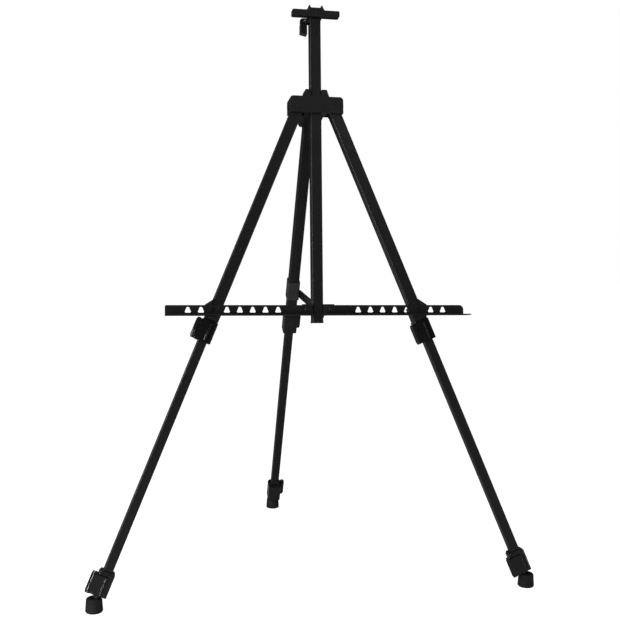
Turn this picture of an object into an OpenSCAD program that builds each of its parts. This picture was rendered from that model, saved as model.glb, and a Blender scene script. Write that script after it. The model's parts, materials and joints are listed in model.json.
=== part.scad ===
// Tripod field easel: a leaning mast with a sliding canvas clip, two hooked
// tray arms, and three telescopic legs with flip locks and ball-jointed feet.
// Origin: on the floor, at the centre of the three feet's footprint.
// +X to the easel's right as seen from the front, +Y to the back, +Z up.

/* [Stance] */
// Backward lean of the mast and both front legs, in degrees
lean = 6.5; // [4:0.5:8]
// Angle between each front leg and the mast, in degrees
splay = 22.5; // [21:0.5:22.5]
// Distance along a leg from its hub pivot to the ball in its foot
leg_length = 994; // [990:1:1010]
// Distance of each front leg's pivot from the mast's axis
pivot_x = 33; // [32:0.5:36]
// Distance of the rear leg's pivot behind the mast's axis
rear_back = 67; // [64:1:72]
// Distance of the rear leg's pivot below the front pivots
rear_drop = 20; // [16:1:24]

/* [Tubes] */
// Width across the square upper leg tube
leg_tube = 22; // [21.5:0.1:22.5]
// Width across the square middle leg tube
mid_tube = 18; // [17.5:0.1:18.2]
// Width across the square lower leg tube
low_tube = 14; // [13.5:0.1:14.2]
// Width across the square mast tube
mast_tube = 21; // [20.5:0.1:21.2]
// Width across the square rod that slides in the mast
rod_tube = 16; // [15:0.1:16.5]
// Wall thickness of every tube
wall = 0.8; // [0.8:0.1:1]

/* [Leg locks] */
// Distance along a leg to the top of its upper lock
upper_lock_at = 440; // [438:1:441]
// Distance along a leg to the top of its lower lock
lower_lock_at = 931; // [929:1:932]
// Height of a lock collar
collar_h = 44; // [44:1:46]
// Width across a square lock collar
collar_w = 30; // [29:0.5:31]

/* [Mast] */
// Height of the mast tube above the hub's pivots
mast_up = 166; // [160:1:180]
// Length of the mast below the hub's pivots
mast_down = 413.5; // [410:0.5:414]

/* [Tray arms] */
// Distance of the tray arms' centre line below the hub's pivots
tray_down = 388.5; // [387:0.5:390]
// Distance from the mast's axis to an arm's outer end
arm_reach = 287; // [280:1:300]
// Height of an arm's face
arm_h = 20; // [19:0.5:20]
// Depth of an arm's ledge, measured from the back of its face
ledge_d = 30; // [24:1:34]
// Distance between neighbouring keyholes
keyhole_pitch = 24; // [23.5:0.1:24.5]
// Number of keyholes in each arm
keyholes = 8; // [7:1:8]

/* [Canvas clip] */
// Width of the clip's cross bar
clip_w = 92; // [80:1:110]
// Height of the clip's cross bar
clip_h = 12; // [12:0.5:15]

/* [Hidden] */
$fn = 48;
LEFT = -1;
REAR = 0;
RIGHT = 1;

// Gaps: fixed parts, turning pins, and parts on different bodies
fixed_gap = 0.05;
pin_gap = 0.06;
slide_gap = 0.3;

// Height of the ball in each foot above the floor
ball_z = 13;
ball_r = 7;
neck_r = 5.2;

// Heights and places that follow from the stance
hub_z = ball_z + leg_length * cos(splay) * cos(lean);
front_foot_y = -leg_length * cos(splay) * sin(lean);
rear_tilt = acos((hub_z - rear_drop - ball_z) / leg_length);
rear_foot_y = rear_back + leg_length * sin(rear_tilt);
hub_y = -(front_foot_y + rear_foot_y) / 2;
foot_x = pivot_x + leg_length * sin(splay);

// The rear leg's pivot, seen from the hub along the leaning mast
rear_y = rear_back * cos(lean) + rear_drop * sin(lean);
rear_z = rear_back * sin(lean) - rear_drop * cos(lean);

// Hub: height above and below the pivots, and thickness of its parts
hub_half_w = pivot_x + 18.8;
hub_top = 18.3;
hub_bottom = -13;
hub_depth = 35;
hub_round = 7;
pocket_roof = 13;
boss_top = 32.3;
boss_top_half_w = 20.5;
boss_base_half_w = 27;
boss_depth = 29;
core_half_w = pivot_x - leg_tube / 2 - 0.4;
clevis_wall = 7;
clevis_r = 8.5;
pivot_r = 4;
pivot_head_r = 6;
pivot_head_h = 2;
screw_r = 2.2;
screw_depth = 4;
screw_head_r = 6.3;
knuckle_r = leg_tube / 2;
knuckle_gap = 0.4;
tube_from = 14;
plug_h = 26;

// Flip lock lever: its hinge stands off the collar's left front corner
hinge_r = 5.6;
hinge_lug_r = 4.6;
hinge_x = -(collar_w / 2 + slide_gap + hinge_r);
hinge_y = -13;
lever_pin_r = 1.75;
lever_h = 39.6;
lever_t = 3.5;
lever_end_x = 2;
lug_h = 3;
lug_top = 4.2;
lever_bead_r = 2.6;
lever_y = -(collar_w / 2 + 0.5 + lever_t);

// Mast fittings, as heights above the hub's pivots
rod_top = mast_up + 19;
rod_bottom = -180;
lock_top = mast_up + 5;
mast_lever_x = -20;
mast_lever_z = mast_up + 1;
mast_lever_r = 4.5;
mast_lever_drop = 27;
lever_lug_w = -mast_lever_x - mast_tube / 2 + 3.9;
clip_y = -12;
clip_d = 14;
clip_bottom = mast_up + 6.5;
groove_d = 8;
groove_h = 5.5;
pad_t = 1.5;

// Tray arms: sheet thickness, their place in front of the mast, and pivots
sheet = 2;
arm_back_y = -14.5;
arm_inner_x = 13.5;
arm_pivot_x = 23;
arm_round = 9;
first_keyhole_x = 77;
keyhole_w = 11.5;
keyhole_h = 10.6;
face_drop = 1.3;
rivet_r = 2.2;
rivet_head_r = 3.4;
bracket_h = 21;
bracket_front_y = arm_back_y + slide_gap;
bracket_half_w = 31;

// Studs on the front legs hook the sixth keyhole of each arm
stud_x = first_keyhole_x + 5 * keyhole_pitch;
stud_r = 4.2;

// Brace: strut from the tray bracket back to a sleeve on the rear leg
brace_y = 24;
brace_z = -395;
sleeve_at = 357;
sleeve_h = 43;
sleeve_pin_at = 390;
sleeve_w = leg_tube + 2 * slide_gap + 3.8;
strut_x = sleeve_w / 2 + 0.4;
lug_t = 7;
lug_r = 8;
strut_t = 4;
strut_w = 16;
rear_angle = rear_tilt + lean;
sleeve_pin_y = rear_y + sleeve_pin_at * sin(rear_angle);
sleeve_pin_z = rear_z - sleeve_pin_at * cos(rear_angle);
strut_angle = atan2(sleeve_pin_z - brace_z, sleeve_pin_y - brace_y);
strut_length = norm([sleeve_pin_y - brace_y, sleeve_pin_z - brace_z]);

black_steel = [0.09, 0.09, 0.10];
black_plastic = [0.06, 0.06, 0.06];
grey_plastic = [0.22, 0.22, 0.23];
black_rubber = [0.11, 0.11, 0.11];
bright_steel = [0.70, 0.70, 0.72];

// ---------- Frames of reference ----------

// The leaning front frame: origin at the hub's pivots on the mast's axis
module in_front() translate([0, hub_y, hub_z]) rotate([-lean, 0, 0]) children();

// A leg's own frame: origin at its pivot, the leg along -Z, its outer face to -Y
module in_leg(side) {
    if (side == REAR)
        translate([0, hub_y + rear_back, hub_z - rear_drop]) rotate([rear_tilt, 0, 0]) rotate([0, 0, 180])
            children();
    else
        in_front() translate([side * pivot_x, 0, 0]) rotate([0, -side * splay, 0]) children();
}

// ---------- Shared shapes ----------

// Square with rounded corners, centred
module rounded_square(w, r) rounded_rectangle(w, w, r);

module rounded_rectangle(w, h, r) {
    square([w, h - 2 * r], center = true);
    square([w - 2 * r, h], center = true);
    for (x = [-1, 1], y = [-1, 1])
        translate([x * (w / 2 - r), y * (h / 2 - r)]) circle(r);
}

// Square tube that hangs from z = top down to z = bottom
module square_tube(w, top, bottom, r = 2.4) {
    translate([0, 0, bottom]) linear_extrude(top - bottom) difference() {
        rounded_square(w, r);
        rounded_square(w - 2 * wall, r - wall);
    }
}

// Square bar from z = top down to z = bottom
module square_bar(w, top, bottom, r) {
    translate([0, 0, bottom]) linear_extrude(top - bottom) rounded_square(w, r);
}

// A 2D outline drawn in X and Z, given thickness along Y about y = 0
module along_y(depth) rotate([90, 0, 0]) linear_extrude(depth, center = true) children();

// A 2D outline drawn in Y and Z, given thickness along X about x = 0
module along_x(depth) rotate([90, 0, 90]) linear_extrude(depth, center = true) children();

// Round pin along Y or X with a flat head at both ends
module double_headed_pin(r, length, head_r, head_h) {
    cylinder(r = r, h = length, center = true);
    for (end = [-1, 1])
        translate([0, 0, end * (length - head_h) / 2]) cylinder(r = head_r, h = head_h, center = true);
}

// ---------- Hub and mast ----------

module hub_body() {
    along_y(hub_depth) {
        translate([-hub_half_w, hub_bottom]) square([2 * hub_half_w, hub_top - hub_bottom - hub_round]);
        translate([hub_round - hub_half_w, 0]) square([2 * (hub_half_w - hub_round), hub_top]);
        for (side = [LEFT, RIGHT])
            translate([side * (hub_half_w - hub_round), hub_top - hub_round]) circle(hub_round);
    }
    along_y(boss_depth) polygon([
        [-boss_base_half_w, pocket_roof], [-boss_top_half_w, boss_top],
        [boss_top_half_w, boss_top], [boss_base_half_w, pocket_roof]
    ]);
    hub_rear_arm();
}

// Arm that carries the rear leg's clevis
module hub_rear_arm() {
    along_x(leg_tube + 2 * knuckle_gap + 2 * clevis_wall) {
        polygon([
            [0, hub_bottom], [0, hub_top - 8],
            [rear_y, rear_z + clevis_r], [rear_y, rear_z - clevis_r]
        ]);
        translate([rear_y, rear_z]) circle(clevis_r);
    }
}

// Outline of a front leg's pocket: its outer wall stops the splayed leg
module leg_pocket() {
    reach = knuckle_r + knuckle_gap;
    wall_x = pivot_x + reach / cos(splay);
    mouth_z = hub_bottom - 1;
    translate([pivot_x, 0]) circle(knuckle_r + 0.7);
    polygon([
        [core_half_w, 0], [core_half_w, mouth_z], [wall_x - mouth_z * tan(splay), mouth_z],
        [pivot_x + reach * cos(splay), reach * sin(splay)]
    ]);
}

module hub() color(black_plastic) in_front() difference() {
    hub_body();
    // way through for the mast
    translate([0, 0, hub_bottom - 20]) linear_extrude(boss_top - hub_bottom + 40)
        rounded_square(mast_tube + 2 * fixed_gap, 2);
    // notch that bares the mast between the two bosses
    translate([-mast_tube / 2 - fixed_gap, -40, hub_top])
        cube([mast_tube + 2 * fixed_gap, 40, boss_top]);
    // pockets for the front legs, open below
    for (side = [0, 1])
        mirror([side, 0, 0]) along_y(2 * (knuckle_r + knuckle_gap)) leg_pocket();
    // slot for the rear leg
    translate([-knuckle_r - knuckle_gap, rear_y - knuckle_r - 2, rear_z - 40])
        cube([2 * (knuckle_r + knuckle_gap), 60, 80]);
    // holes for the pivot pins
    for (side = [LEFT, RIGHT])
        translate([side * pivot_x, 0, 0]) rotate([90, 0, 0]) {
            cylinder(r = pivot_r + fixed_gap, h = 60, center = true);
            for (end = [-1, 1])
                translate([0, 0, end * hub_depth / 2]) cylinder(r = pivot_head_r + 0.2, h = 2 * pivot_head_h, center = true);
        }
    translate([0, rear_y, rear_z]) rotate([0, 90, 0])
        cylinder(r = pivot_r + fixed_gap, h = 60, center = true);
    rotate([0, 90, 0]) for (end = [-1, 1])
        translate([0, 0, end * hub_half_w]) cylinder(r = screw_r, h = 2 * screw_depth, center = true);
}

module hub_side_screws() color(black_steel) in_front() rotate([0, 90, 0])
    for (end = [0, 1])
        mirror([0, 0, end]) translate([0, 0, hub_half_w - screw_depth]) difference() {
            union() {
                cylinder(r = screw_r - fixed_gap, h = screw_depth);
                translate([0, 0, screw_depth]) cylinder(r = screw_head_r, h = 2);
            }
            translate([0, 0, screw_depth + 0.5]) cylinder(r = 2.6, h = 2, $fn = 6);
        }

module hub_front_pins() color(black_steel) in_front()
    for (side = [LEFT, RIGHT])
        translate([side * pivot_x, 0, 0]) rotate([90, 0, 0])
            double_headed_pin(pivot_r, hub_depth, pivot_head_r, pivot_head_h);

module hub_rear_pin() color(black_steel) in_front()
    translate([0, rear_y, rear_z]) rotate([0, 90, 0])
        double_headed_pin(pivot_r, leg_tube + 2 * knuckle_gap + 2 * clevis_wall + 2 * pivot_head_h,
            pivot_head_r, pivot_head_h);

module mast_tube() color(black_steel) in_front()
    square_tube(mast_tube, mast_up, 3 - mast_down, 2);

module mast_foot_cap() color(black_plastic) in_front() {
    square_bar(mast_tube - 2 * wall - 0.2, 17 - mast_down, 3 - mast_down, 1);
    square_bar(mast_tube + 1, 3 - mast_down, -mast_down, 2);
}

// Cap that guides the rod, with the lever's clevis on its left side
module mast_top_lock() color(black_plastic) in_front() difference() {
    union() {
        square_bar(mast_tube - 2 * wall - 0.2, mast_up, mast_up - 16, 1);
        square_bar(mast_tube, lock_top, mast_up, 2);
        translate([mast_lever_x - 4, -8, mast_lever_z - 3.5]) cube([lever_lug_w, 16, 7.5]);
        translate([mast_lever_x - 4, -8, mast_up]) cube([14, 16, lock_top - mast_up]);
    }
    translate([0, 0, mast_up - 20]) linear_extrude(40) rounded_square(rod_tube + 2 * slide_gap, 1.8);
    // the clevis's gap, and the lever's way out
    translate([mast_lever_x - 10, -5, mast_up - 20]) cube([lever_lug_w + 5.6, 10, 40]);
    translate([mast_lever_x, 0, mast_lever_z]) rotate([90, 0, 0])
        cylinder(r = lever_pin_r + fixed_gap, h = 40, center = true);
}

module mast_lever_pin() color(bright_steel) in_front()
    translate([mast_lever_x, 0, mast_lever_z]) rotate([90, 0, 0])
        cylinder(r = lever_pin_r, h = 16.6, center = true);

// Lever that hangs down the mast's left side; its outline is a short wedge
module mast_lever() color(black_plastic) in_front() difference() {
    union() {
        translate([mast_lever_x, 0, mast_lever_z]) along_y(9.4) {
            circle(mast_lever_r);
            polygon([[-8, -7], [-8, 2.5], [-6, mast_lever_r], [0, mast_lever_r], [4.4, 0], [4.4, -7]]);
        }
        translate([mast_lever_x, 0, mast_lever_z]) along_y(16)
            polygon([[-8, -6], [4.4, -6], [4.4, -mast_lever_drop], [-8, 3 - mast_lever_drop]]);
    }
    translate([mast_lever_x, 0, mast_lever_z]) rotate([90, 0, 0])
        cylinder(r = lever_pin_r + pin_gap, h = 40, center = true);
}

module mast_rod() color(black_steel) in_front()
    square_tube(rod_tube, rod_top, rod_bottom, 1.6);

// Canvas clip: cross bar with a grooved underside, socket block and two points
module top_clip() color(black_plastic) in_front() difference() {
    union() {
        translate([0, clip_y, clip_bottom + clip_h / 2]) along_y(clip_d)
            rounded_rectangle(clip_w, clip_h, 2.5);
        translate([-13, clip_y - clip_d / 2, clip_bottom - 1]) cube([26, 30, clip_h + 5.5]);
        for (side = [LEFT, RIGHT])
            translate([side * 12, clip_y, clip_bottom + clip_h]) along_y(8)
                polygon([[-8, -1], [-3.5, 3.5], [-1, 10], [1, 10], [3.5, 3.5], [8, -1]]);
    }
    // socket for the rod, closed at the top
    translate([0, 0, clip_bottom - 5]) linear_extrude(rod_top - clip_bottom + 5 + fixed_gap)
        rounded_square(rod_tube + 2 * fixed_gap, 1.6);
    // groove over the canvas's edge
    translate([-clip_w, clip_y - clip_d / 2 + 3, clip_bottom - 5])
        cube([2 * clip_w, groove_d, groove_h + 5]);
}

module clip_pad() color(black_rubber) in_front()
    translate([-clip_w / 2 + 6, clip_y - clip_d / 2 + 3.1, clip_bottom + groove_h - pad_t])
        cube([clip_w - 12, groove_d - 3.2, pad_t]);

// ---------- Tray ----------

// Saddle behind the mast's lower end: wings for the arms, a lug for the brace
module tray_bracket() color(black_plastic) in_front() difference() {
    union() {
        translate([-core_half_w, -11.4, -tray_down - bracket_h / 2]) cube([2 * core_half_w, 26, bracket_h]);
        translate([-bracket_half_w, bracket_front_y, -tray_down - bracket_h / 2])
            cube([2 * bracket_half_w, -11.4 - bracket_front_y, bracket_h]);
        translate([strut_x - 0.6 - lug_t / 2, 0, brace_z]) along_x(lug_t) {
            translate([brace_y, 0]) circle(lug_r);
            translate([12, -lug_r]) square([brace_y - 12, 2 * lug_r]);
        }
    }
    // the mast stands in a channel that is open at the front
    translate([-mast_tube / 2 - fixed_gap, -40, -tray_down - 60])
        cube([mast_tube + 2 * fixed_gap, 40 + mast_tube / 2 + fixed_gap, 120]);
    for (side = [LEFT, RIGHT])
        translate([side * arm_pivot_x, 0, -tray_down]) rotate([90, 0, 0])
            cylinder(r = rivet_r + fixed_gap, h = 60, center = true);
    translate([0, brace_y, brace_z]) rotate([0, 90, 0])
        cylinder(r = rivet_r + fixed_gap, h = 60, center = true);
}

// Domed rivet head that stands on z = 0
module rivet_head() rotate_extrude()
    polygon([[0, 0], [rivet_head_r, 0], [rivet_head_r, 0.3], [2.6, 1], [1.3, 1.4], [0, 1.5]]);

module arm_rivets() color(black_steel) in_front()
    for (side = [LEFT, RIGHT])
        translate([side * arm_pivot_x, -11.5, -tray_down]) rotate([90, 0, 0]) {
            cylinder(r = rivet_r, h = 6);
            translate([0, 0, -11.5 - arm_back_y + sheet + slide_gap]) rivet_head();
        }

// Keyhole: wide at the bottom for the stud's head, narrow at the top
module keyhole() {
    polygon([[-4.2, -5.3], [4.2, -5.3], [keyhole_w / 2, -3.8], [3.2, 2.2], [-3.2, 2.2], [-keyhole_w / 2, -3.8]]);
    translate([0, keyhole_h / 2 - 3.4]) circle(3.4);
}

// The face's middle lies a little below the line of the keyholes
module arm_face(outer_round) difference() {
    translate([0, -face_drop]) union() {
        translate([arm_inner_x, -arm_h / 2]) square([arm_reach - arm_inner_x, arm_h - outer_round]);
        translate([arm_inner_x, -arm_h / 2]) square([arm_reach - arm_inner_x - outer_round, arm_h]);
        translate([arm_reach - outer_round, arm_h / 2 - outer_round]) circle(outer_round);
    }
    for (k = [0 : keyholes - 1])
        translate([first_keyhole_x + k * keyhole_pitch, 0]) keyhole();
    translate([arm_pivot_x, 0]) circle(rivet_r + pin_gap);
}

// An arm is one angle strip: a pierced face and a ledge at its bottom, which
// may run on past the face's outer end
module arm(side, outer_round, ledge_past) color(black_steel) in_front()
    translate([0, 0, -tray_down]) mirror([side == LEFT ? 1 : 0, 0, 0]) {
        translate([0, arm_back_y - sheet / 2, 0]) along_y(sheet) arm_face(outer_round);
        translate([arm_inner_x, arm_back_y - ledge_d, -arm_h / 2 - face_drop])
            cube([arm_reach + ledge_past - arm_inner_x, ledge_d, sheet]);
    }

module stud_bracket(side) color(black_plastic) in_leg(side) difference() {
    union() {
        translate([0, 0, -upper_lock_at]) linear_extrude(26) {
            rounded_rectangle(27, 27, 3);
            translate([-13.5, bracket_front_y]) square([27, 6]);
        }
        // wing that slopes out behind the arm
        translate([0, bracket_front_y + 1.5, 0]) mirror([side > 0 ? 1 : 0, 0, 0]) along_y(3)
            polygon([[-10, -402], [-22, -419], [-17, -430], [-10, -436]]);
    }
    translate([0, 0, -500]) linear_extrude(200) rounded_square(leg_tube + 2 * fixed_gap, 2.4);
    place_stud(side) translate([0, 0, leg_tube / 2]) cylinder(r = stud_r + fixed_gap, h = 10);
}

// A stud's place on its leg, with Z along the stud towards the front
module place_stud(side) {
    across = side * (stud_x - pivot_x);
    translate([across * cos(splay) - side * tray_down * sin(splay), 0,
        -tray_down * cos(splay) - side * across * sin(splay)])
        rotate([90, 0, 0]) children();
}

module stud(side) color(black_steel) in_leg(side) place_stud(side)
    translate([0, 0, leg_tube / 2 + 0.1]) cylinder(r = stud_r, h = -bracket_front_y - leg_tube / 2 - 0.1);

// ---------- Rear brace ----------

module brace_rivet() color(black_steel) in_front()
    translate([strut_x - 0.6 - lug_t, brace_y, brace_z]) rotate([0, 90, 0]) {
        cylinder(r = rivet_r, h = lug_t + 0.6 + strut_t + 1);
        translate([0, 0, lug_t + 0.6 + strut_t + slide_gap]) rivet_head();
    }

module brace_strut() color(black_steel) in_front()
    translate([strut_x + strut_t / 2, brace_y, brace_z]) rotate([strut_angle, 0, 0]) along_x(strut_t) difference() {
        union() {
            translate([0, -strut_w / 2]) square([strut_length, strut_w]);
            circle(strut_w / 2);
            translate([strut_length, 0]) circle(strut_w / 2);
        }
        circle(rivet_r + pin_gap);
        translate([strut_length, 0]) circle(rivet_r + fixed_gap);
    }

module brace_end_rivet() color(black_steel) in_front()
    translate([strut_x, sleeve_pin_y, sleeve_pin_z]) rotate([0, 90, 0]) {
        cylinder(r = rivet_r, h = strut_t);
        translate([0, 0, strut_t]) rivet_head();
    }

module brace_sleeve() color(grey_plastic) in_leg(REAR) difference() {
    square_bar(sleeve_w, -sleeve_at, -sleeve_at - sleeve_h, 3);
    square_bar(leg_tube + 2 * slide_gap, 0, -600, 2.4);
}

// ---------- Legs ----------

// Plug in the top of a leg, with the eye that turns on the hub's pin
module knuckle(side) color(black_plastic) in_leg(side) rotate([0, 0, side == REAR ? 90 : 0]) difference() {
    union() {
        rotate([90, 0, 0]) cylinder(r = knuckle_r, h = leg_tube, center = true);
        translate([-knuckle_r, -knuckle_r, -tube_from]) cube([leg_tube, leg_tube, tube_from]);
        square_bar(leg_tube - 2 * wall - 0.2, -tube_from, -tube_from - plug_h, 1.4);
    }
    rotate([90, 0, 0]) cylinder(r = pivot_r + pin_gap, h = 60, center = true);
}

module upper_tube(side) color(black_steel) in_leg(side)
    square_tube(leg_tube, -tube_from, -upper_lock_at - tube_from);

module mid_tube(side) color(black_steel) in_leg(side)
    square_tube(mid_tube, -412, -lower_lock_at - tube_from, 2.2);

module low_tube(side) color(black_steel) in_leg(side)
    square_tube(low_tube, -500, -leg_length + 21.5, 2);

// Lock collar: grips one tube, guides the next, and carries the lever's hinge
module collar(side, at, holds, guides) color(black_plastic) in_leg(side) translate([0, 0, -at]) difference() {
    union() {
        square_bar(collar_w, -3, -collar_h, 3.5);
        square_bar(collar_w - 3, 0, -3, 3);
        for (z = [-lug_top - lug_h, -lug_top - lever_h])
            translate([0, 0, z]) {
                translate([hinge_x, hinge_y, 0]) cylinder(r = hinge_lug_r, h = lug_h);
                translate([hinge_x, -collar_w / 2 + 0.5, 0]) cube([-hinge_x - 12, hinge_lug_r, lug_h]);
            }
    }
    square_bar(holds + 2 * fixed_gap, 1, -tube_from, 2.2);
    square_bar(guides + 2 * slide_gap, 0, -collar_h - 1, 2.2);
    // slit that lets the collar close on the inner tube
    translate([-collar_w, 2, -collar_h - 1]) cube([collar_w, 2, collar_h - tube_from - 3]);
    translate([hinge_x, hinge_y, -collar_h]) cylinder(r = lever_pin_r + fixed_gap, h = collar_h);
}

module lever_pin(side, at) color(bright_steel) in_leg(side)
    translate([hinge_x, hinge_y, -at - lug_top - lever_h]) cylinder(r = lever_pin_r, h = lever_h + 0.6);

// Flip lever between the lugs: a barrel on the pin, a plate over the collar's
// outer face, and a bead along the plate's free edge
module lock_lever(side, at) color(black_plastic) in_leg(side)
    translate([0, 0, -at - lug_top - lever_h + lug_h + slide_gap])
        linear_extrude(lever_h - 2 * lug_h - 2 * slide_gap) difference() {
            union() {
                translate([hinge_x, hinge_y]) circle(hinge_r);
                translate([hinge_x, lever_y]) square([lever_end_x - hinge_x, lever_t]);
                translate([lever_end_x, lever_y + lever_t - lever_bead_r]) circle(lever_bead_r);
            }
            translate([hinge_x, hinge_y]) circle(lever_pin_r + pin_gap);
        }

// Plug in the lower tube's end, with a neck and the ball that holds the foot
module ankle(side) color(black_plastic) in_leg(side) {
    square_bar(low_tube - 2 * wall - 0.2, -leg_length + 39, -leg_length + 21.5, 1);
    square_bar(low_tube, -leg_length + 21.5, -leg_length + 18.5, 2);
    translate([0, 0, -leg_length]) cylinder(r = neck_r, h = 18.5);
    translate([0, 0, -leg_length]) sphere(ball_r);
}

// A foot's place: on the floor under its ball
module at_foot(side)
    translate([side * foot_x, hub_y + (side == REAR ? rear_foot_y : front_foot_y), 0]) children();

// Rubber foot with a ball socket and a slot for the neck's swing
module foot(side) color(black_rubber) at_foot(side) difference() {
    rotate_extrude() {
        polygon([[0, 0], [14.4, 0], [15.9, 2], [14.6, 22], [10.7, 26], [0, 26]]);
        translate([10.7, 22.1]) circle(3.9);
    }
    translate([0, 0, ball_z]) {
        sphere(ball_r + slide_gap);
        neck_swing(side) along_y(2 * neck_r + 1.4)
            polygon([[-6.5, 0], [-8, 14], [17, 14], [6.8, 0]]);
    }
}

// Turns X and Z to the plane in which a leg swings, with the hub towards +X
module neck_swing(side) {
    if (side == REAR)
        rotate([0, 0, -90]) children();
    else
        rotate([-lean, 0, 0]) mirror([side > 0 ? 1 : 0, 0, 0]) children();
}

hub();
hub_side_screws();
hub_front_pins();
hub_rear_pin();
mast_tube();
mast_foot_cap();
mast_top_lock();
mast_lever_pin();
tray_bracket();
arm_rivets();
brace_rivet();
mast_rod();
top_clip();
clip_pad();
mast_lever();
arm(LEFT, 3, 0);  // left_arm
arm(RIGHT, arm_round, 6);  // right_arm
brace_strut();
brace_end_rivet();
brace_sleeve();
stud_bracket(LEFT);  // left_stud_bracket
stud(LEFT);  // left_stud
stud_bracket(RIGHT);  // right_stud_bracket
stud(RIGHT);  // right_stud
knuckle(LEFT);  // left_knuckle
upper_tube(LEFT);  // left_upper_tube
collar(LEFT, upper_lock_at, leg_tube, mid_tube);  // left_upper_collar
lever_pin(LEFT, upper_lock_at);  // left_upper_lever_pin
lock_lever(LEFT, upper_lock_at);  // left_upper_lever
mid_tube(LEFT);  // left_mid_tube
collar(LEFT, lower_lock_at, mid_tube, low_tube);  // left_lower_collar
lever_pin(LEFT, lower_lock_at);  // left_lower_lever_pin
lock_lever(LEFT, lower_lock_at);  // left_lower_lever
low_tube(LEFT);  // left_low_tube
ankle(LEFT);  // left_ankle
foot(LEFT);  // left_foot
knuckle(RIGHT);  // right_knuckle
upper_tube(RIGHT);  // right_upper_tube
collar(RIGHT, upper_lock_at, leg_tube, mid_tube);  // right_upper_collar
lever_pin(RIGHT, upper_lock_at);  // right_upper_lever_pin
lock_lever(RIGHT, upper_lock_at);  // right_upper_lever
mid_tube(RIGHT);  // right_mid_tube
collar(RIGHT, lower_lock_at, mid_tube, low_tube);  // right_lower_collar
lever_pin(RIGHT, lower_lock_at);  // right_lower_lever_pin
lock_lever(RIGHT, lower_lock_at);  // right_lower_lever
low_tube(RIGHT);  // right_low_tube
ankle(RIGHT);  // right_ankle
foot(RIGHT);  // right_foot
knuckle(REAR);  // rear_knuckle
upper_tube(REAR);  // rear_upper_tube
collar(REAR, upper_lock_at, leg_tube, mid_tube);  // rear_upper_collar
lever_pin(REAR, upper_lock_at);  // rear_upper_lever_pin
lock_lever(REAR, upper_lock_at);  // rear_upper_lever
mid_tube(REAR);  // rear_mid_tube
collar(REAR, lower_lock_at, mid_tube, low_tube);  // rear_lower_collar
lever_pin(REAR, lower_lock_at);  // rear_lower_lever_pin
lock_lever(REAR, lower_lock_at);  // rear_lower_lever
low_tube(REAR);  // rear_low_tube
ankle(REAR);  // rear_ankle
foot(REAR);  // rear_foot
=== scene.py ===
"""Looks for the tripod field easel. Metres, in the frame of the CAD model."""
import json
import math
import bpy
from mathutils import Matrix, Vector


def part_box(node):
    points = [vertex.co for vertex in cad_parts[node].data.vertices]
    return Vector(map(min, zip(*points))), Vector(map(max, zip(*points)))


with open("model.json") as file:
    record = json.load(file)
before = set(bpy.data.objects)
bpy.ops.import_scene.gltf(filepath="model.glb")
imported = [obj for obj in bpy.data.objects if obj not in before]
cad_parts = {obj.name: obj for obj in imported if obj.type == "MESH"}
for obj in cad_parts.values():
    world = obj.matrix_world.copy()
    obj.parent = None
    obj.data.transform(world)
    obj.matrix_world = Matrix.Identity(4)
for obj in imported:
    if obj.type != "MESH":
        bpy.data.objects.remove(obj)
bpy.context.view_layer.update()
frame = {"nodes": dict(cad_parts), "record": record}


# ---------- Node helpers ----------

NOISE_ROUGHNESS = 0.55
BEVEL_SAMPLES = 4

# The colour sockets of a Mix node, which share their names with its other sockets.
MIX_FACTOR, MIX_A, MIX_B, MIX_RESULT = 0, 6, 7, 2

# Cosine of the angle between the rounded and the true normal, on a flat and on a full edge.
FLAT_COSINE, EDGE_COSINE = 0.995, 0.86


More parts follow.
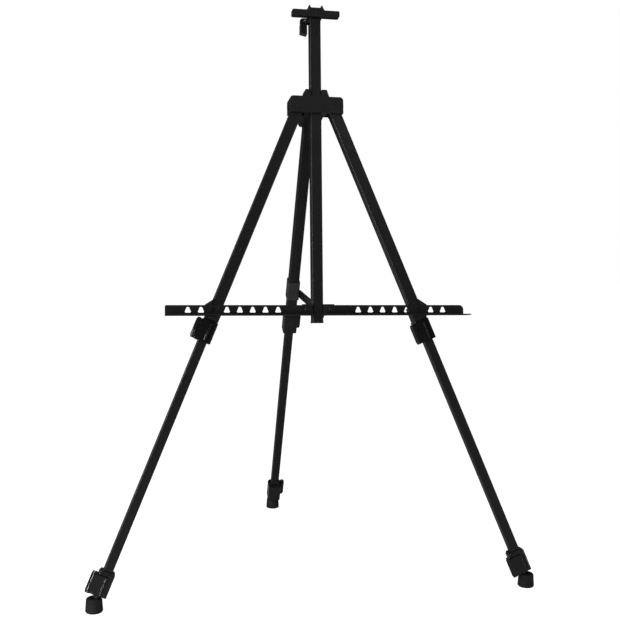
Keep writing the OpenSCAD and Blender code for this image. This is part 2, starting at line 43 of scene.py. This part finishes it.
class Graph:
    """A material's node tree, with short calls that make and link nodes."""

    def __init__(self, name):
        self.mat = bpy.data.materials.new(name)
        self.mat.use_nodes = True
        self.nodes = self.mat.node_tree.nodes
        self.links = self.mat.node_tree.links
        self.shader = self.nodes["Principled BSDF"]
        self.place = self.nodes.new("ShaderNodeTexCoord").outputs["Object"]

    def put(self, socket, value):
        if isinstance(value, bpy.types.NodeSocket):
            self.links.new(value, socket)
        else:
            socket.default_value = value

    def noise(self, scale, detail, stretch=None):
        place = self.place
        if stretch:
            mapping = self.nodes.new("ShaderNodeMapping")
            mapping.inputs["Scale"].default_value = stretch
            self.put(mapping.inputs["Vector"], place)
            place = mapping.outputs["Vector"]
        node = self.nodes.new("ShaderNodeTexNoise")
        self.put(node.inputs["Vector"], place)
        node.inputs["Scale"].default_value = scale
        node.inputs["Detail"].default_value = detail
        node.inputs["Roughness"].default_value = NOISE_ROUGHNESS
        return node.outputs["Fac"]

    def remap(self, value, low, high, to_low, to_high):
        node = self.nodes.new("ShaderNodeMapRange")
        self.put(node.inputs["Value"], value)
        node.inputs["From Min"].default_value = low
        node.inputs["From Max"].default_value = high
        node.inputs["To Min"].default_value = to_low
        node.inputs["To Max"].default_value = to_high
        return node.outputs["Result"]

    def times(self, a, b):
        node = self.nodes.new("ShaderNodeMath")
        node.operation = "MULTIPLY"
        self.put(node.inputs[0], a)
        self.put(node.inputs[1], b)
        return node.outputs[0]

    def mix(self, fac, a, b):
        node = self.nodes.new("ShaderNodeMix")
        node.data_type = "RGBA"
        self.put(node.inputs[MIX_FACTOR], fac)
        self.put(node.inputs[MIX_A], a)
        self.put(node.inputs[MIX_B], b)
        return node.outputs[MIX_RESULT]

    def round_edges(self, radius):
        node = self.nodes.new("ShaderNodeBevel")
        node.samples = BEVEL_SAMPLES
        node.inputs["Radius"].default_value = radius
        return node.outputs["Normal"]

    def edges(self, rounded):
        """1 on an edge, 0 on a flat: how far the rounded normal leans from the true one."""
        true = self.nodes.new("ShaderNodeNewGeometry").outputs["True Normal"]
        dot = self.nodes.new("ShaderNodeVectorMath")
        dot.operation = "DOT_PRODUCT"
        self.put(dot.inputs[0], rounded)
        self.put(dot.inputs[1], true)
        return self.remap(dot.outputs["Value"], FLAT_COSINE, EDGE_COSINE, 0.0, 1.0)

    def bump(self, height, strength, distance, normal):
        node = self.nodes.new("ShaderNodeBump")
        node.inputs["Strength"].default_value = strength
        node.inputs["Distance"].default_value = distance
        self.put(node.inputs["Height"], height)
        self.put(node.inputs["Normal"], normal)
        return node.outputs["Normal"]


def rgb(c, gain=1.0):
    return (c[0] * gain, c[1] * gain, c[2] * gain, 1.0)


# ---------- Finishes ----------

# Where in the noise a slow change starts and ends.
SLOW_LOW, SLOW_HIGH = 0.3, 0.7
SLOW_DETAIL = 4.0
GRAIN_DETAIL = 2.0
GRAIN_STRENGTH = 0.35

# How much darker and paler than its colour a finish gets.
DARK_TONE, PALE_TONE = 0.72, 1.35
SMOOTHEST = 0.05

# Wear comes in patches, and the least worn stretch of an edge keeps RUB_LEAST of it.
RUB_SCALE = 260.0
RUB_DETAIL = 4.0
RUB_LOW, RUB_HIGH = 0.42, 0.62
RUB_LEAST = 0.15


def surface(name, color, rough, grain, depth, wear=0.0, worn=(0.2, 0.2, 0.2), edge=0.0006,
            spread=0.08, mottle=35.0, metallic=0.0, specular=0.5, stretch=None):
    """Lacquer, moulded plastic, rubber or steel: fine grain in the bump, slow change in colour
    and roughness, and edges that are rounded, and paler where hands rub them."""
    g = Graph(name)
    slow = g.noise(mottle, SLOW_DETAIL)
    fine = g.noise(grain, GRAIN_DETAIL, stretch)
    rounded = g.round_edges(edge)
    blend = g.remap(slow, SLOW_LOW, SLOW_HIGH, 0.0, 1.0)
    tone = g.mix(blend, rgb(color, DARK_TONE), rgb(color, PALE_TONE))
    smooth = g.remap(slow, SLOW_LOW, SLOW_HIGH, rough + spread, max(rough - spread, SMOOTHEST))
    if wear:
        patches = g.remap(g.noise(RUB_SCALE, RUB_DETAIL), RUB_LOW, RUB_HIGH, RUB_LEAST, 1.0)
        rub = g.times(g.times(g.edges(rounded), patches), wear)
        tone = g.mix(rub, tone, rgb(worn))
    g.put(g.shader.inputs["Base Color"], tone)
    g.put(g.shader.inputs["Roughness"], smooth)
    g.put(g.shader.inputs["Normal"], g.bump(fine, GRAIN_STRENGTH, depth, rounded))
    g.shader.inputs["Metallic"].default_value = metallic
    g.shader.inputs["Specular IOR Level"].default_value = specular
    return g.mat


FINISHES = {
    "black_tube": dict(
        color=(0.010, 0.010, 0.011), rough=0.34, specular=0.35,
        grain=900.0, depth=0.00006, wear=0.25, worn=(0.05, 0.05, 0.05), edge=0.0004),
    "black_sheet": dict(
        color=(0.009, 0.009, 0.010), rough=0.58, specular=0.2,
        grain=1400.0, depth=0.00008, wear=0.25, worn=(0.05, 0.05, 0.05), edge=0.0003),
    "black_fastener": dict(
        color=(0.012, 0.012, 0.012), rough=0.22, specular=0.4,
        grain=1200.0, depth=0.00004, wear=0.4, worn=(0.16, 0.16, 0.16), edge=0.0004),
    "bright_steel": dict(
        color=(0.62, 0.62, 0.64), rough=0.28, metallic=1.0,
        grain=700.0, depth=0.00004, edge=0.0004, stretch=(1.0, 1.0, 6.0)),
    "lock_plastic": dict(
        color=(0.008, 0.008, 0.009), rough=0.12, spread=0.04,
        grain=1100.0, depth=0.00003, wear=0.25, worn=(0.05, 0.05, 0.05), edge=0.0009),
    "black_plastic": dict(
        color=(0.010, 0.010, 0.010), rough=0.46, specular=0.35,
        grain=1500.0, depth=0.00010, wear=0.25, worn=(0.06, 0.06, 0.06), edge=0.0012),
    "grey_plastic": dict(
        color=(0.042, 0.042, 0.044), rough=0.42, specular=0.4,
        grain=1500.0, depth=0.00008, wear=0.2, edge=0.0009),
    "foot_rubber": dict(
        color=(0.012, 0.012, 0.012), rough=0.72, specular=0.3, mottle=60.0,
        grain=1000.0, depth=0.00014, wear=0.4, worn=(0.06, 0.06, 0.057), edge=0.0010),
}


def dress():
    """Give every CAD node the finish that the record names for it."""
    materials = {name: surface(name, **how) for name, how in FINISHES.items()}
    for part in frame["record"]["subparts"]:
        mesh = frame["nodes"][part["node"]].data
        mesh.materials.clear()
        mesh.materials.append(materials[part["material_slot"]])


# ---------- Camera ----------

# Aim in degrees: turned to the right, tipped up, rolled.
TURN, TIP, ROLL = 10.69, -4.07, 0.70
# Distance from the hub and shift to the right of it, both level, and height above the floor.
AWAY, ASIDE, EYE_HEIGHT = 1.797, -0.005, 0.664
LENS_MM, SENSOR_MM = 53.58, 36.0


def hub_depth():
    low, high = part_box("hub_front_pins")
    return (low.y + high.y) / 2


def make_camera():
    """The photograph's viewpoint: a little to the easel's left, looking slightly down."""
    turn, tip, roll = math.radians(TURN), math.radians(TIP), math.radians(ROLL)
    data = bpy.data.cameras.new("camera")
    data.sensor_width = SENSOR_MM
    data.lens = LENS_MM
    camera = bpy.data.objects.new("camera", data)
    bpy.context.scene.collection.objects.link(camera)
    ahead = Vector((math.sin(turn) * math.cos(tip), math.cos(turn) * math.cos(tip), math.sin(tip)))
    level = Vector((math.cos(turn), -math.sin(turn), 0))
    over = level.cross(ahead)
    right = math.cos(roll) * level + math.sin(roll) * over
    up = math.cos(roll) * over - math.sin(roll) * level
    eye_x = -math.sin(turn) * AWAY + ASIDE * math.cos(turn)
    eye_y = -math.cos(turn) * AWAY - ASIDE * math.sin(turn) + hub_depth()
    camera.matrix_world = Matrix((
        (right.x, up.x, -ahead.x, eye_x),
        (right.y, up.y, -ahead.y, eye_y),
        (right.z, up.z, -ahead.z, EYE_HEIGHT),
        (0, 0, 0, 1)))
    bpy.context.scene.camera = camera


# ---------- Floor ----------

FLOOR_HALF = 14.0
FLOOR_DARK, FLOOR_PALE = (0.56, 0.56, 0.56), (0.60, 0.60, 0.60)
FLOOR_MOTTLE, FLOOR_DETAIL = 3.0, 3.0
FLOOR_ROUGH, FLOOR_SPECULAR = 0.9, 0.1
FLOOR_GLOW = 0.93


def make_floor():
    """A pale floor that glows for the camera only, so that it runs into the white behind."""
    mesh = bpy.data.meshes.new("floor")
    s = FLOOR_HALF
    mesh.from_pydata([(-s, -s, 0), (s, -s, 0), (s, s, 0), (-s, s, 0)], [], [(0, 1, 2, 3)])
    floor = bpy.data.objects.new("floor", mesh)
    bpy.context.scene.collection.objects.link(floor)
    g = Graph("floor")
    blend = g.remap(g.noise(FLOOR_MOTTLE, FLOOR_DETAIL), SLOW_LOW, SLOW_HIGH, 0.0, 1.0)
    g.put(g.shader.inputs["Base Color"], g.mix(blend, rgb(FLOOR_DARK), rgb(FLOOR_PALE)))
    g.shader.inputs["Roughness"].default_value = FLOOR_ROUGH
    g.shader.inputs["Specular IOR Level"].default_value = FLOOR_SPECULAR
    seen = g.nodes.new("ShaderNodeLightPath").outputs["Is Camera Ray"]
    g.put(g.shader.inputs["Emission Color"], (1, 1, 1, 1))
    g.put(g.shader.inputs["Emission Strength"], g.times(seen, FLOOR_GLOW))
    mesh.materials.append(g.mat)


# ---------- Light ----------

SURROUND_LIGHT = 0.05
BACKDROP_SEEN = 1.0

SUN_STRENGTH = 0.45
SUN_SPREAD = 50
SUN_TILT = (12, -10, 0)

# Name, place, aim, watts, width and height. A lamp with no height is a disk.
# The two upright strips are what the locks reflect as bright lines.
LAMPS = (
    ("left_lamp", (-2.4, -0.6, 1.6), (0, -0.2, 0.9), 24, 1.2, None),
    ("front_lamp", (1.2, -3.0, 2.2), (0, -0.2, 0.5), 3, 0.9, None),
    ("left_strip", (-1.9, -2.3, 0.62), (-0.25, -0.25, 0.55), 36, 0.10, 1.3),
    ("right_strip", (2.0, -1.9, 0.50), (0.25, -0.25, 0.45), 8, 0.10, 1.0),
)


def make_world():
    """White where the camera looks past the easel, and a dim white as a light source."""
    world = bpy.data.worlds.new("studio")
    bpy.context.scene.world = world
    world.use_nodes = True
    nodes, links = world.node_tree.nodes, world.node_tree.links
    surround = nodes["Background"]
    surround.inputs["Color"].default_value = (1, 1, 1, 1)
    surround.inputs["Strength"].default_value = SURROUND_LIGHT
    backdrop = nodes.new("ShaderNodeBackground")
    backdrop.inputs["Color"].default_value = (1, 1, 1, 1)
    backdrop.inputs["Strength"].default_value = BACKDROP_SEEN
    choose = nodes.new("ShaderNodeMixShader")
    links.new(nodes.new("ShaderNodeLightPath").outputs["Is Camera Ray"], choose.inputs[0])
    links.new(surround.outputs[0], choose.inputs[1])
    links.new(backdrop.outputs[0], choose.inputs[2])
    links.new(choose.outputs[0], nodes["World Output"].inputs["Surface"])


def make_sun():
    """A broad, weak light from overhead."""
    sun = bpy.data.objects.new("sky_lamp", bpy.data.lights.new("sky_lamp", "SUN"))
    sun.data.energy = SUN_STRENGTH
    sun.data.angle = math.radians(SUN_SPREAD)
    sun.rotation_euler = [math.radians(a) for a in SUN_TILT]
    bpy.context.scene.collection.objects.link(sun)


def area_light(name, at, aim, power, width, height):
    data = bpy.data.lights.new(name, "AREA")
    data.shape = "RECTANGLE" if height else "DISK"
    data.size = width
    if height:
        data.size_y = height
    data.energy = power
    light = bpy.data.objects.new(name, data)
    bpy.context.scene.collection.objects.link(light)
    light.location = at
    light.rotation_mode = "QUATERNION"
    light.rotation_quaternion = (Vector(aim) - Vector(at)).to_track_quat("-Z", "Y")


dress()
make_camera()
make_floor()
make_world()
make_sun()
for lamp in LAMPS:
    area_light(*lamp)
bpy.context.scene.view_settings.view_transform = "Standard"
